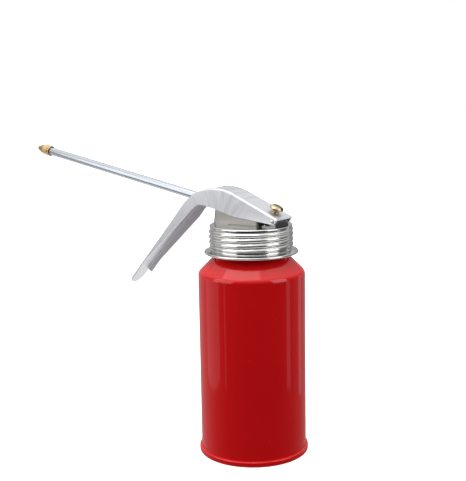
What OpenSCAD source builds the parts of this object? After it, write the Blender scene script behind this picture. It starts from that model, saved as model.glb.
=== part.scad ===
// Trigger-action oil can: a drawn steel can with a screw cap, a lever pump head and a long rigid spout.
// The origin is the centre of the can's foot. +Z is up, and the spout points along -X.

/* [Can] */
// Outer radius of the can's wall
body_r = 30; // [27:0.5:33]
// Height of the straight wall, where the shoulder starts
body_h = 104; // [96:0.5:110]
// Outer radius of the rolled seam around the foot
seam_r = 31.2; // [31:0.1:34]
// Height of the rolled seam
seam_h = 3; // [2.6:0.1:4]
// Sheet thickness of the can
can_wall = 0.8; // [0.5:0.1:1]
// Outer radius of the neck
neck_r = 21; // [20.8:0.05:21.2]
// Height of the neck's lip
neck_top = 128.6; // [128.4:0.1:128.7]

/* [Cap] */
// Outer radius of the cap between its thread ridges
cap_r = 22.8; // [22.7:0.05:23]
// How far each thread ridge stands out
ridge_depth = 0.8; // [0.4:0.1:1]
// Number of thread ridges
ridge_count = 4; // [2:1:4]
// Height of one turn of the thread
thread_pitch = 2.9; // [2.4:0.1:3]
// Height of the cap's flat top
cap_top = 130.7; // [130.5:0.1:130.8]
// Sheet thickness of the cap
cap_wall = 0.6; // [0.4:0.1:0.6]
// Outer radius of the rolled rim at the cap's lower edge
rim_r = 26.4; // [25.5:0.1:27]
// Height of the rim's underside
rim_z = 114.7; // [114.5:0.1:115.5]

/* [Pump head] */
// Half of the tower's width
tower_half_w = 6.1; // [5.5:0.1:6.2]
// How far the tower reaches in front of the pump's axis
tower_front = 23; // [22.6:0.1:23.4]
// Radius of the round spigot that passes down through the cap
spigot_r = 12.5; // [12:0.1:13]
// Radius of the pump's bore
bore_r = 5; // [4.8:0.05:5.2]
// Radial running clearance of the piston in its bore
piston_gap = 0.03; // [0.01:0.01:0.08]

/* [Spout] */
// Outer radius of the spout tube
tube_r = 2.5; // [2:0.1:2.6]
// Inner radius of the spout tube
tube_bore_r = 1.7; // [1:0.1:1.8]
// Angle of the spout above level, in degrees
spout_tilt = 10; // [8:0.5:11]
// Distance from the pump's axis to the tip of the nozzle
spout_reach = 171.5; // [120:0.5:220]
// Radius of the nozzle's barrel
nozzle_r = 3.3; // [3:0.1:4]
// Length of the nozzle
nozzle_len = 11.5; // [9:0.5:16]

/* [Lever] */
// Half of the lever's width over the tower
lever_half_w = 7.8; // [7.7:0.1:8.5]
// Half of the lever's width at the finger end
tip_half_w = 5.2; // [4:0.1:6]
// Sheet thickness of the lever
sheet = 1.2; // [1:0.1:1.2]
// Slope of the lever's top between the hinge and the bend, in degrees
top_slope = 22.3; // [21.5:0.1:22.5]
// Slope of the finger trigger, in degrees
trigger_slope = 47.4; // [45:0.1:50]
// Outer radius of the bend between the two
bend_r = 33.5; // [33:0.1:34]
// Length of the finger trigger from the bend to its tip
trigger_len = 70; // [60:0.5:80]
// Radius of the hinge pin
pin_r = 0.9; // [0.8:0.05:0.95]

/* [Hidden] */

$fn = 96;
eps = 0.01;

red_paint = "firebrick";
bright_steel = "lightgray";
satin_alloy = "silver";
cast_alloy = "darkgray";
brass = "goldenrod";
dark_rubber = "dimgray";

// Can: the shoulder runs up at 45 degrees to the neck
shoulder_top = body_h + body_r - neck_r;
neck_bead_r = 0.9;
neck_bead_step = thread_pitch;
neck_bead_low = 117.4;
bottom_z = 2.4;
dimple_r = 3.4;

// Cap: the ridges are counted down from the top edge
top_edge_r = 1.2;
ridge_first = cap_top - 3.6;
flare_top = 117.9;
rim_roll_r = 0.75;

// Pump axis is the Z axis. Heights inside the head
spigot_bottom = 114;
inlet_top = 118.9;
inlet_shoulder = 114;
chamber_floor = 119;
port_z = 120.4;
port_r = 0.9;
valve_x = -9;
valve_seat_z = 132.5;
valve_hole_r = 1;
valve_chamber_r = 2.2;
tower_top = 143.2;
tower_back = 9;
outlet_ball_r = 1.8;
inlet_ball_r = 1.9;
inlet_seat_z = 113.5;
inlet_hole_r = 1.2;
piston_low = 126.5;
piston_high = 135;
seal_z = 129.4;
dome_r = 4.5;
dome_z = 138.8;
outlet_plug_z = 140.75;
port_x = 12.4;

// Spout axis: passes through this point in front of the tower
spout_x = -46.8;
spout_z = 145.3;
socket_x = -19.6;
boss_x = -20.5;
boss_len = 4.2;
collar_x = boss_x - (boss_len + 0.02) * cos(spout_tilt);
function spout_height(x) = spout_z - (x - spout_x) * tan(spout_tilt);

// Lever: centre of the bend, the two ends of its arc, and the hinge
bend_x = -18.8;
bend_z = 116.7;
hinge_x = 19.6;
hinge_z = 134.2;
front_end = [bend_x - bend_r * sin(trigger_slope), bend_z + bend_r * cos(trigger_slope)];
rear_end = [bend_x + bend_r * sin(top_slope), bend_z + bend_r * cos(top_slope)];
// Lower rear corner of the lever's flanges, and the slope of the cut that rises from it
heel = [20.8, 132.5];
heel_slope = 56.7;
slot_half_w = 4.4;
slot_rear_x = -18.6;
slot_low_z = 140.3;
screw_x = 16.6;
screw_r = 2;
screw_head_r = 3.85;
screw_head_low = 2.4;
screw_depth = 5.5;
nut_h = 1.2;
// Height of the lever's top above a place behind the bend
function top_height(x) = rear_end[1] - (x - rear_end[0]) * tan(top_slope);

// Runs its children along the spout's own axis, with +Z pointing out of the nozzle
module on_spout(x) {
    translate([x, 0, spout_height(x)]) rotate([0, spout_tilt - 90, 0]) children();
}

// Extrudes a side view, drawn in X and Z, evenly to both sides of the middle
module side_extrude(half_w) {
    rotate([90, 0, 0]) linear_extrude(2 * half_w, center = true) children();
}

module ring(outer, inner, low, high) {
    difference() {
        translate([0, 0, low]) cylinder(r = outer, h = high - low);
        translate([0, 0, low - 1]) cylinder(r = inner, h = high - low + 2);
    }
}

module cylinder_between(r, low, high) {
    translate([0, 0, low]) cylinder(r = r, h = high - low);
}

module torus(major, minor, z) {
    translate([0, 0, z]) rotate_extrude() translate([major, 0]) circle(minor, $fn = 32);
}

module coil(major, wire, low, high, turns) {
    steps = 16;
    sides = 8;
    count = turns * steps;
    rise = (high - low - 2 * wire) / count;
    points = [for (i = [0:count]) for (k = [0:sides - 1])
        let (a = 360 * i / steps, b = 360 * k / sides, r = major + wire * cos(b))
        [r * cos(a), r * sin(a), low + wire + rise * i + wire * sin(b)]];
    skin = [for (i = [0:count - 1]) for (k = [0:sides - 1])
        let (n = (k + 1) % sides)
        [i * sides + k, (i + 1) * sides + k, (i + 1) * sides + n, i * sides + n]];
    first = [for (k = [0:sides - 1]) k];
    last = [for (k = [sides - 1:-1:0]) count * sides + k];
    polyhedron(points, concat(skin, [first, last]), convexity = 8);
}

module can_body() {
    turn = 4;
    turn_z = body_h - turn * tan(22.5);
    color(red_paint) rotate_extrude() difference() {
        union() {
            square_to(0, bottom_z + can_wall, body_r, turn_z);
            // the wall turns over into the shoulder on a small radius
            translate([body_r - turn, turn_z]) circle(turn, $fn = 64);
            polygon([[0, turn_z], [body_r - turn, turn_z],
                [body_r - turn * (1 - cos(45)), turn_z + turn * sin(45)],
                [neck_r, shoulder_top], [0, shoulder_top]]);
            square_to(0, shoulder_top - eps, neck_r, neck_top);
            for (i = [0:3])
                translate([neck_r, neck_bead_low + i * neck_bead_step])
                    circle(neck_bead_r, $fn = 32);
        }
        can_hollow();
    }
}

// Fills the rectangle between two corners
module square_to(x0, y0, x1, y1) {
    translate([x0, y0]) square([x1 - x0, y1 - y0]);
}

// Section of the space inside the can, open at the foot and at the neck
module can_hollow() {
    inner = body_r - can_wall;
    neck_inner = neck_r - 1;
    polygon([[-1, -1], [inner, -1], [inner, body_h - 1.2], [neck_inner, shoulder_top - 1],
        [neck_inner, neck_top + 1], [-1, neck_top + 1]]);
}

module can_bottom() {
    roll = 0.8;
    color(red_paint) rotate_extrude() difference() {
        union() {
            // rolled seam, rounded over at the top
            translate([seam_r - roll, seam_h - roll]) circle(roll, $fn = 32);
            square_to(seam_r - 2 * roll, 0, seam_r - roll, seam_h);
            square_to(seam_r - roll, 0, seam_r, seam_h - roll);
            // recessed disc, with two raised rings and a dimple in the middle
            square_to(0, bottom_z, body_r, bottom_z + can_wall);
            for (r = [12, 21])
                translate([r, bottom_z + 0.2]) circle(1, $fn = 32);
            square_to(0, bottom_z - 0.5, dimple_r, bottom_z + 0.4);
        }
        square_to(-2, -2, 0, 8);
    }
}

module cap_gasket() {
    color(dark_rubber) ring(22, 18.2, neck_top, cap_top - cap_wall);
}

module screw_cap() {
    inner = cap_r - cap_wall;
    edge_r = cap_r + 0.4 - top_edge_r;
    rim_x = rim_r - rim_roll_r;
    rim_mid = rim_z + rim_roll_r;
    color(bright_steel) difference() {
        union() {
            rotate_extrude() polygon([[0, rim_mid], [rim_x, rim_mid], [rim_x, rim_mid + 0.6],
                [cap_r + 0.7, flare_top - 1.2], [cap_r, flare_top], [cap_r, cap_top - top_edge_r],
                [edge_r, cap_top - 0.02], [0, cap_top - 0.02]]);
            torus(edge_r, top_edge_r, cap_top - top_edge_r);
            cylinder_between(edge_r, cap_top - 1, cap_top);
            for (i = [0:ridge_count - 1])
                torus(cap_r - 0.4, ridge_depth + 0.4, ridge_first - i * thread_pitch);
            torus(rim_x, rim_roll_r, rim_mid);
        }
        rotate_extrude() polygon([[0, rim_z - 1], [rim_x - 0.5, rim_z - 1], [rim_x - 0.5, rim_mid - 0.1],
            [cap_r, flare_top - 1.8], [inner, flare_top - 0.8], [inner, cap_top - cap_wall],
            [0, cap_top - cap_wall]]);
        cylinder_between(spigot_r + 0.02, cap_top - 3, cap_top + 1);
    }
}

module clamp_washer() {
    color(bright_steel) ring(16, spigot_r + 0.1, cap_top - cap_wall - 0.8, cap_top - cap_wall);
}

module head_nut() {
    top = cap_top - cap_wall - 0.8;
    color(brass) difference() {
        translate([0, 0, top - 4]) cylinder(r = 17, h = 4, $fn = 6);
        translate([0, 0, top - 5]) cylinder(r = spigot_r, h = 6);
    }
}

// Side view of the tower: a raked front, a level top and a roof that falls to the back
module tower_side() {
    polygon([[-tower_front - 0.6, cap_top], [-tower_front + 0.8, 140], [-tower_front + 2, tower_top],
        [-11, tower_top], [-2, 140.7], [tower_back, 137.5], [tower_back, cap_top]]);
}

module pump_head() {
    corner = 4;
    color(cast_alloy) difference() {
        union() {
            intersection() {
                side_extrude(tower_half_w) tower_side();
                union() {
                    translate([-tower_front + corner, -tower_half_w, cap_top])
                        cube([tower_front + tower_back, 2 * tower_half_w, 20]);
                    for (side = [-1, 1])
                        translate([-tower_front + corner - 0.3, side * (tower_half_w - corner), cap_top])
                            cylinder(r = corner, h = 20);
                    translate([-tower_front - 1, corner - tower_half_w, cap_top])
                        cube([corner + 2, 2 * (tower_half_w - corner), 20]);
                }
            }
            // boss that carries the spout, level with the tower's front
            on_spout(boss_x) cylinder(r = 3.7, h = boss_len);
            cylinder_between(spigot_r, spigot_bottom, cap_top);
            cylinder_between(tower_half_w - 0.1, cap_top - 1, cap_top + 1);
        }
        translate([0, 0, chamber_floor - eps]) cylinder(r = bore_r, h = 30);
        translate([0, 0, spigot_bottom - 1]) cylinder(r = 6.5, h = chamber_floor - spigot_bottom + 1);
        translate([valve_x, 0, port_z]) cylinder(r = valve_hole_r, h = 20);
        translate([valve_x, 0, valve_seat_z]) cylinder(r = valve_chamber_r, h = 20);
        translate([-spigot_r - 1, 0, port_z]) rotate([0, 90, 0]) cylinder(r = port_r, h = spigot_r);
        on_spout(socket_x) cylinder(r = tube_r, h = 12);
        on_spout(valve_x) cylinder(r = 1.1, h = 14);
    }
}

module port_plug() {
    color(brass) translate([-port_x, 0, port_z]) rotate([0, 90, 0]) cylinder(r = port_r, h = 1.8);
}

module piston() {
    color(bright_steel) difference() {
        translate([0, 0, piston_low]) cylinder(r = bore_r - piston_gap, h = piston_high - piston_low);
        ring(bore_r + 1, 3.5, seal_z - 0.8, seal_z + 0.8);
        translate([0, 0, piston_high - 3]) cylinder(r = 2, h = 4);
    }
}

module piston_seal() {
    color(dark_rubber) torus(4.26, 0.7, seal_z);
}

module push_button() {
    color(bright_steel) {
        translate([0, 0, piston_high - 3]) cylinder(r = 2, h = 3 + eps);
        translate([0, 0, piston_high]) cylinder(r = dome_r, h = dome_z - piston_high);
        intersection() {
            translate([0, 0, dome_z]) sphere(dome_r);
            translate([0, 0, dome_z - eps]) cylinder(r = dome_r + 1, h = dome_r + 1);
        }
    }
}

module return_spring() {
    color(bright_steel) coil(3.9, 0.45, inlet_top + 0.02, piston_low - 0.02, 4);
}

module inlet_body() {
    color(brass) difference() {
        union() {
            translate([0, 0, inlet_shoulder]) cylinder(r = 6.48, h = inlet_top - inlet_shoulder);
            translate([0, 0, 109]) cylinder(r = 8.6, h = inlet_shoulder - 109, $fn = 6);
            translate([0, 0, 103]) cylinder(r = 3.6, h = 7);
        }
        translate([0, 0, inlet_seat_z]) cylinder(r = 2.4, h = 10);
        translate([0, 0, 100]) cylinder(r = inlet_hole_r, h = 16);
        translate([0, 0, 102]) cylinder(r = 2, h = 7);
        translate([0, 6, 118.2]) rotate([90, 0, 0]) cylinder(r = 0.35, h = 12, $fn = 24);
    }
}

module inlet_ball() {
    color(bright_steel) translate([0, 0, inlet_seat_z + 1.53]) sphere(inlet_ball_r);
}

module ball_stop() {
    color(bright_steel) translate([0, 4, 118.2]) rotate([90, 0, 0]) cylinder(r = 0.35, h = 8, $fn = 24);
}

module suction_tube() {
    color(bright_steel) ring(2, 1.4, 10, 109);
}

module suction_strainer() {
    color(brass) difference() {
        translate([0, 0, 6.5]) cylinder(r = 3.4, h = 9.5);
        translate([0, 0, 7.3]) cylinder(r = 2.7, h = 4);
        translate([0, 0, 10]) cylinder(r = 2, h = 8);
        for (a = [0:45:135])
            rotate([0, 0, a]) translate([-4, -0.4, 7.6]) cube([8, 0.8, 2]);
    }
}

module outlet_ball() {
    color(bright_steel) translate([valve_x, 0, valve_seat_z + 1.53]) sphere(outlet_ball_r);
}

module outlet_spring() {
    color(bright_steel) translate([valve_x, 0, 0]) coil(1.15, 0.25, 136, 140.7, 5);
}

module outlet_plug() {
    height = 1.2;
    color(brass) translate([valve_x, 0, outlet_plug_z]) difference() {
        cylinder(r = valve_chamber_r, h = height);
        translate([-3, -0.35, height / 2]) cube([6, 0.7, 2]);
    }
}

module spout_tube() {
    length = (spout_reach + socket_x) / cos(spout_tilt) - 7;
    color(bright_steel) on_spout(socket_x) difference() {
        cylinder(r = tube_r, h = length);
        translate([0, 0, -1]) cylinder(r = tube_bore_r, h = length + 2);
    }
}

module spout_collar() {
    color(bright_steel) on_spout(collar_x) difference() {
        cylinder(r = 3.1, h = 1.6);
        translate([0, 0, -1]) cylinder(r = tube_r, h = 4);
    }
}

module nozzle() {
    rear_x = -spout_reach + nozzle_len * cos(spout_tilt);
    barrel = nozzle_len * 0.45;
    color(brass) on_spout(rear_x) difference() {
        union() {
            cylinder(r = nozzle_r, h = barrel);
            translate([0, 0, barrel]) cylinder(r1 = nozzle_r, r2 = 1.35, h = nozzle_len - barrel);
        }
        translate([0, 0, -1]) cylinder(r = tube_r, h = 5.5);
        cylinder(r = 0.6, h = nozzle_len + 1);
    }
}

// Side view of everything under the lever's top, drawn inside by the given inset
module lever_under(inset) {
    r = bend_r - inset;
    reach = 90;
    front = [bend_x - r * sin(trigger_slope), bend_z + r * cos(trigger_slope)];
    rear = [bend_x + r * sin(top_slope), bend_z + r * cos(top_slope)];
    along_front = [cos(trigger_slope), sin(trigger_slope)];
    along_rear = [cos(top_slope), -sin(top_slope)];
    // the bend's arc, taken two degrees past each end so that the pieces overlap
    intersection() {
        translate([bend_x, bend_z]) circle(r, $fn = 180);
        translate([bend_x, bend_z]) polygon([[0, 0],
            2 * r * [-sin(trigger_slope + 2), cos(trigger_slope + 2)],
            [0, 3 * r], 2 * r * [sin(top_slope + 2), cos(top_slope + 2)]]);
    }
    polygon([front, front - reach * along_front, front - reach * along_front + [50, 0], [bend_x, bend_z]]);
    polygon([rear, rear + reach * along_rear, [rear[0] + reach, 60], [bend_x, 60], [bend_x, bend_z]]);
}

// Everything below the free edge of the lever's flanges
module below_flanges() {
    edge_slope = 41.3;
    inner_r = 8;
    centre = [-30, 132.2];
    touch = centre + inner_r * [-sin(edge_slope), cos(edge_slope)];
    far = touch - 90 * [cos(edge_slope), sin(edge_slope)];
    translate(centre) circle(inner_r, $fn = 96);
    polygon([touch, far, [far[0], 20], [60, 20], [60, heel[1]], heel,
        [-8, 135.3], [-20, 138.4], [-28.6, 140.08], centre]);
}

// Everything behind the slanted cut at the rear of the lever
module behind_heel() {
    polygon([heel, [heel[0], 100], [80, 100], [80, 180], heel + 50 * [cos(heel_slope), sin(heel_slope)]]);
}

// Outline of the lever from above: straight over the tower, then narrowing down the trigger
module lever_plan(half_w, tip_w) {
    translate([front_end[0], 0, front_end[1]]) rotate([0, 180 - trigger_slope, 0]) {
        translate([-90, -half_w, -80]) cube([90 + eps, 2 * half_w, 160]);
        linear_extrude(60, center = true) {
            polygon([[0, -half_w], [0, half_w], [trigger_len - tip_w, tip_w], [trigger_len - tip_w, -tip_w]]);
            translate([trigger_len - tip_w, 0]) circle(tip_w);
        }
    }
}

module lever() {
    wide = 12;
    color(satin_alloy) difference() {
        intersection() {
            lever_plan(lever_half_w, tip_half_w);
            union() {
                side_extrude(wide) difference() {
                    lever_under(0);
                    lever_under(sheet);
                    behind_heel();
                }
                difference() {
                    side_extrude(wide) difference() {
                        lever_under(0);
                        below_flanges();
                        behind_heel();
                    }
                    lever_plan(lever_half_w - sheet, tip_half_w - sheet);
                }
            }
        }
        // slot for the spout, from the top of the bend down its front
        translate([-60, -slot_half_w, slot_low_z])
            cube([60 + slot_rear_x - slot_half_w, 2 * slot_half_w, 20]);
        translate([slot_rear_x - slot_half_w, 0, slot_low_z]) cylinder(r = slot_half_w, h = 20);
        translate([hinge_x, 20, hinge_z]) rotate([90, 0, 0]) cylinder(r = pin_r + 0.05, h = 40, $fn = 48);
        translate([screw_x, 0, top_height(screw_x)]) rotate([0, top_slope, 0])
            cylinder(r = screw_r, h = 6, center = true, $fn = 48);
    }
}

module hinge_bracket() {
    base = 0.8;
    barrel_r = 1.4;
    color(cast_alloy) difference() {
        union() {
            translate([11, -6.2, cap_top]) cube([hinge_x - 11, 12.4, base]);
            side_extrude(6.2) union() {
                translate([hinge_x, hinge_z]) circle(barrel_r, $fn = 48);
                polygon([[hinge_x + barrel_r - 0.1, hinge_z - 0.5], [hinge_x + 1.3, cap_top],
                    [hinge_x - 3.6, cap_top], [hinge_x - 3.6, cap_top + base],
                    [hinge_x - 2.2, cap_top + base],
                    [hinge_x - barrel_r + 0.1, hinge_z - 0.5], [hinge_x, hinge_z]]);
            }
        }
        translate([hinge_x, 20, hinge_z]) rotate([90, 0, 0]) cylinder(r = pin_r, h = 40, $fn = 48);
        for (side = [-1, 1])
            translate([13, side * 3.6, cap_top - 3]) cylinder(r = 1, h = 8, $fn = 32);
    }
}

module bracket_rivets() {
    color(bright_steel) for (side = [-1, 1])
        translate([13, side * 3.6, 0]) {
            translate([0, 0, cap_top - 0.02]) cylinder(r = 1, h = 0.84, $fn = 32);
            translate([0, 0, cap_top + 0.8]) cylinder(r1 = 1.7, r2 = 1.2, h = 0.6, $fn = 32);
        }
}

module hinge_pin() {
    head_low = 16.8;
    head_h = 0.3;
    color(bright_steel) translate([hinge_x, 8.9, hinge_z]) rotate([90, 0, 0]) {
        cylinder(r = pin_r, h = head_low + head_h, $fn = 48);
        translate([0, 0, head_low]) cylinder(r = 1.3, h = head_h, $fn = 48);
    }
}

module pin_clip() {
    color(bright_steel) translate([hinge_x, 8.6, hinge_z]) rotate([90, 0, 0]) difference() {
        cylinder(r = 1.8, h = 0.6, $fn = 48);
        translate([0, 0, -1]) cylinder(r = pin_r, h = 3, $fn = 48);
    }
}

module stroke_screw() {
    color(brass) translate([screw_x, 0, top_height(screw_x)]) rotate([0, top_slope, 0]) {
        translate([0, 0, -screw_depth])
            cylinder(r = screw_r, h = screw_depth + screw_head_low + eps, $fn = 48);
        difference() {
            translate([0, 0, screw_head_low]) union() {
                cylinder(r = screw_head_r, h = 1, $fn = 64);
                translate([0, 0, 1]) cylinder(r1 = screw_head_r, r2 = screw_head_r - 1.1, h = 1.3, $fn = 64);
            }
            translate([-5, -0.5, screw_head_low + 1.2]) cube([10, 1, 3]);
        }
    }
}

module stroke_nut() {
    color(brass) translate([screw_x, 0, top_height(screw_x)]) rotate([0, top_slope, 0])
        translate([0, 0, -sheet - nut_h]) difference() {
            rotate([0, 0, 30]) cylinder(r = 2.9, h = nut_h, $fn = 6);
            translate([0, 0, -1]) cylinder(r = screw_r, h = 4, $fn = 48);
        }
}

can_body();
can_bottom();
cap_gasket();
screw_cap();
clamp_washer();
head_nut();
pump_head();
port_plug();
piston();
piston_seal();
push_button();
return_spring();
inlet_body();
inlet_ball();
ball_stop();
suction_tube();
suction_strainer();
outlet_ball();
outlet_spring();
outlet_plug();
spout_tube();
spout_collar();
nozzle();
lever();
hinge_bracket();
bracket_rivets();
hinge_pin();
pin_clip();
stroke_screw();
stroke_nut();
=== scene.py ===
import math

import bmesh
import bpy
import numpy as np
from mathutils import Matrix, Vector

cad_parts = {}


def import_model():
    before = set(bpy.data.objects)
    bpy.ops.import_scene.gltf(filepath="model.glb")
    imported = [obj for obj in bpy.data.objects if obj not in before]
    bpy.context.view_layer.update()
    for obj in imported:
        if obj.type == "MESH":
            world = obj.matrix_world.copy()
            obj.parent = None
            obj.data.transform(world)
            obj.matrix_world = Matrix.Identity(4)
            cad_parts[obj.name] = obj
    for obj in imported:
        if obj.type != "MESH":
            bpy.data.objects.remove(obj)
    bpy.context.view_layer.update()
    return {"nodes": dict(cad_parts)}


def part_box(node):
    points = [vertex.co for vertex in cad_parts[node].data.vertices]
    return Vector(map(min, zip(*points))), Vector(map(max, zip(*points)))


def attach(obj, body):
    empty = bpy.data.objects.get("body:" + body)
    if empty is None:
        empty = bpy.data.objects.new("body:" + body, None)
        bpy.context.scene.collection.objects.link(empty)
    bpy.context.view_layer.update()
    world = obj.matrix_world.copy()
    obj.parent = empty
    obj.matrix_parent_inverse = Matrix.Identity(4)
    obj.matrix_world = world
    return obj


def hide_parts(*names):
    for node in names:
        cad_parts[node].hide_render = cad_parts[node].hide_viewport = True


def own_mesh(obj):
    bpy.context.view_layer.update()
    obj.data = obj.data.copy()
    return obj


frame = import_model()
MM = 0.001


# ---------------------------------------------------------------- places taken from the frame, in mm
def box_mm(node):
    low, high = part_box(node)
    return low / MM, high / MM


WALL_LOW, WALL_HIGH = box_mm("can_body")
CAP_LOW, CAP_HIGH = box_mm("screw_cap")
SEAM_R = box_mm("can_bottom")[1].x
PIN_LOW, PIN_HIGH = box_mm("hinge_pin")
LEVER_REAR = box_mm("lever")[1].x
BUTTON_TOP = box_mm("push_button")[1].z
BODY_R = WALL_HIGH.x
NECK_TOP = WALL_HIGH.z
CAP_TOP = CAP_HIGH.z
RIM_R = CAP_HIGH.x
RIM_LOW = CAP_LOW.z
HINGE = Vector(((PIN_LOW.x + PIN_HIGH.x) / 2, (PIN_LOW.z + PIN_HIGH.z) / 2))
PITCH = 2.9
PLATE_TOP = CAP_TOP + 0.8
on_pin = Matrix.Translation((HINGE.x, 0, HINGE.y)) @ Matrix.Rotation(math.pi / 2, 4, "X")


# ---------------------------------------------------------------- shader nodes written as expressions
class Value:
    """A shader socket. An expression on it adds the Math nodes that work it out."""

    def __init__(self, finish, socket):
        self.finish, self.socket = finish, socket

    def math(self, operation, first, *rest):
        return self.finish.node("ShaderNodeMath", {"operation": operation}, dict(enumerate((first,) + rest)))

    def __add__(self, other):
        return self.math("ADD", self, other)

    def __sub__(self, other):
        return self.math("SUBTRACT", self, other)

    def __rsub__(self, other):
        return self.math("SUBTRACT", other, self)

    def __mul__(self, other):
        return self.math("MULTIPLY", self, other)

    def __truediv__(self, other):
        return self.math("DIVIDE", self, other)

    __radd__, __rmul__ = __add__, __mul__


class Finish:
    """A material, or the world, made of nodes that all come from one method."""

    def __init__(self, name, fixed=None, owner=None):
        self.owner = owner or bpy.data.materials.new(name)
        self.owner.use_nodes = True
        self.tree = self.owner.node_tree
        self.tree.nodes.clear()
        if owner is None:
            self.shader = self.tree.nodes.new("ShaderNodeBsdfPrincipled")
            end = self.tree.nodes.new("ShaderNodeOutputMaterial")
            self.tree.links.new(self.shader.outputs[0], end.inputs["Surface"])
            self.give(fixed or {})

    def node(self, kind, settings=None, inputs=None, out=0):
        made = self.tree.nodes.new(kind)
        for key, value in (settings or {}).items():
            if key == "stops":
                ramp = made.color_ramp.elements
                while len(ramp) < len(value):
                    ramp.new(0.5)
                for stop, (place, shade) in zip(ramp, value):
                    stop.position = place
                    stop.color = shade if hasattr(shade, "__len__") else (shade, shade, shade, 1)
            else:
                setattr(made, key, value)
        for key, value in (inputs or {}).items():
            self.plug(made.inputs[key], value)
        return Value(self, made.outputs[out])

    def plug(self, socket, value):
        if isinstance(value, Value):
            self.tree.links.new(value.socket, socket)
        else:
            socket.default_value = value

    def give(self, inputs):
        for key, value in inputs.items():
            self.plug(self.shader.inputs[key], value)

    def place(self, origin=(0, 0, 0), turn=(0, 0, 0), scale=(1, 1, 1)):
        """Object coordinates counted from an origin in mm, along axes turned with a piece."""
        where = self.node("ShaderNodeTexCoord", out="Object")
        return self.node("ShaderNodeMapping", {"vector_type": "TEXTURE"}, {
            "Vector": where, "Location": Vector(origin) * MM, "Rotation": turn, "Scale": scale})

    def stretch(self, vector, scale):
        return self.node("ShaderNodeVectorMath", {"operation": "MULTIPLY"}, {0: vector, 1: scale})

    def parts(self, vector):
        split = self.node("ShaderNodeSeparateXYZ", inputs={"Vector": vector})
        outs = split.socket.node.outputs
        return [Value(self, outs[i]) for i in range(3)]

    def round_place(self, vector):
        """Distance from the axis, angle round it and height along it."""
        x, y, z = self.parts(vector)
        radius = self.node("ShaderNodeMath", {"operation": "SQRT"}, {0: x * x + y * y})
        angle = self.node("ShaderNodeMath", {"operation": "ARCTAN2"}, {0: y, 1: x})
        return radius, angle, z

    def join(self, x, y, z):
        return self.node("ShaderNodeCombineXYZ", inputs={0: x, 1: y, 2: z})

    def noise(self, vector, scale, detail=2.0, rough=0.5):
        return self.node("ShaderNodeTexNoise", inputs={
            "Vector": vector, "Scale": scale, "Detail": detail, "Roughness": rough})

    def ramp(self, value, *stops):
        return self.node("ShaderNodeValToRGB", {"stops": stops}, {0: value})

    def blend(self, share, first, second):
        return self.node("ShaderNodeMix", {"data_type": "RGBA"}, {0: share, 6: first, 7: second}, out=2)

    def fit(self, value, low, high, new_low, new_high):
        return self.node("ShaderNodeMapRange", inputs={0: value, 1: low, 2: high, 3: new_low, 4: new_high})

    def bump(self, height, depth_mm, under=None):
        inputs = {"Height": height, "Distance": depth_mm * MM, "Strength": 1.0}
        if under is not None:
            inputs["Normal"] = under
        return self.node("ShaderNodeBump", inputs=inputs)


def colour(r, g, b):
    return (r, g, b, 1.0)


# ---------------------------------------------------------------- finishes
def red_enamel():
    f = Finish("red_enamel", {"Coat Roughness": 0.06, "Coat IOR": 1.5, "Specular IOR Level": 0.0})
    at = f.place()
    flow = f.noise(at, 35, 3)
    peel = f.noise(at, 700, 2)
    fine = f.noise(at, 3200, 1)
    scuff = f.ramp(f.noise(at, 150, 6, 0.7), (0.0, 0.0), (0.62, 0.0), (0.75, 1.0))
    low_edge = f.fit(f.parts(at)[2], 0.0, 0.0012, 1.0, 0.0)
    chip = f.ramp(f.noise(at, 900, 4, 0.6) + low_edge * 0.16, (0.0, 0.0), (0.735, 0.0), (0.75, 1.0))
    paint = f.blend(flow, colour(0.61, 0.0056, 0.0074), colour(0.69, 0.0070, 0.0088))
    paint = f.blend(scuff * 0.08, paint, colour(0.62, 0.018, 0.020))
    f.give({
        "Base Color": f.blend(chip, paint, colour(0.30, 0.28, 0.27)),
        "Metallic": chip * 0.9,
        "Roughness": f.fit(flow, 0.3, 0.7, 0.30, 0.36) + scuff * 0.08,
        "Coat Weight": 0.85 - chip * 0.85 - scuff * 0.1,
        "Normal": f.bump(fine, 0.0012, f.bump(peel, 0.006)),
    })
    return f.owner


def turned(name, tint, shade, rough, lines=0.0035, origin=(0, 0, 0), turn=(0, 0, 0), stain=0.5):
    """Metal worked on a lathe or rolled: fine lines run round its axis."""
    f = Finish(name, {"Specular IOR Level": 0.5})
    at = f.place(origin, turn)
    radius, angle, z = f.round_place(at)
    around = f.join(radius, angle * 0.0006, z)
    groove = f.noise(around, 5200, 2, 0.6)
    wide = f.noise(around, 900, 2)
    haze = f.noise(at, 160, 4, 0.6)
    spots = f.ramp(f.noise(at, 420, 5, 0.7), (0.0, 0.0), (0.6, 0.0), (0.8, 1.0))
    f.give({
        "Metallic": 1.0,
        "Base Color": f.blend(f.fit(haze, 0.35, 0.75, 0.0, stain) + spots * 0.15, tint, shade),
        "Roughness": f.fit(groove, 0.3, 0.7, rough * 0.8, rough * 1.25) + spots * 0.06,
        "Normal": f.bump(groove, lines, f.bump(wide, lines * 1.5)),
    })
    return f.owner


def drawn_pipe(name, origin, turn):
    """Bright drawn tube: faint scratches run along it, and patches of handling haze lie on it."""
    f = Finish(name, {"Specular IOR Level": 0.5, "Metallic": 1.0})
    at = f.place(origin, turn)
    along = f.noise(f.stretch(at, (1.0, 1.0, 0.02)), 4200, 2, 0.6)
    haze = f.noise(at, 130, 4, 0.6)
    f.give({
        "Base Color": f.blend(haze, colour(0.50, 0.525, 0.56), colour(0.38, 0.405, 0.45)),
        "Roughness": f.fit(along, 0.3, 0.7, 0.10, 0.18) + haze * 0.05,
        "Normal": f.bump(along, 0.0025),
    })
    return f.owner


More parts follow.
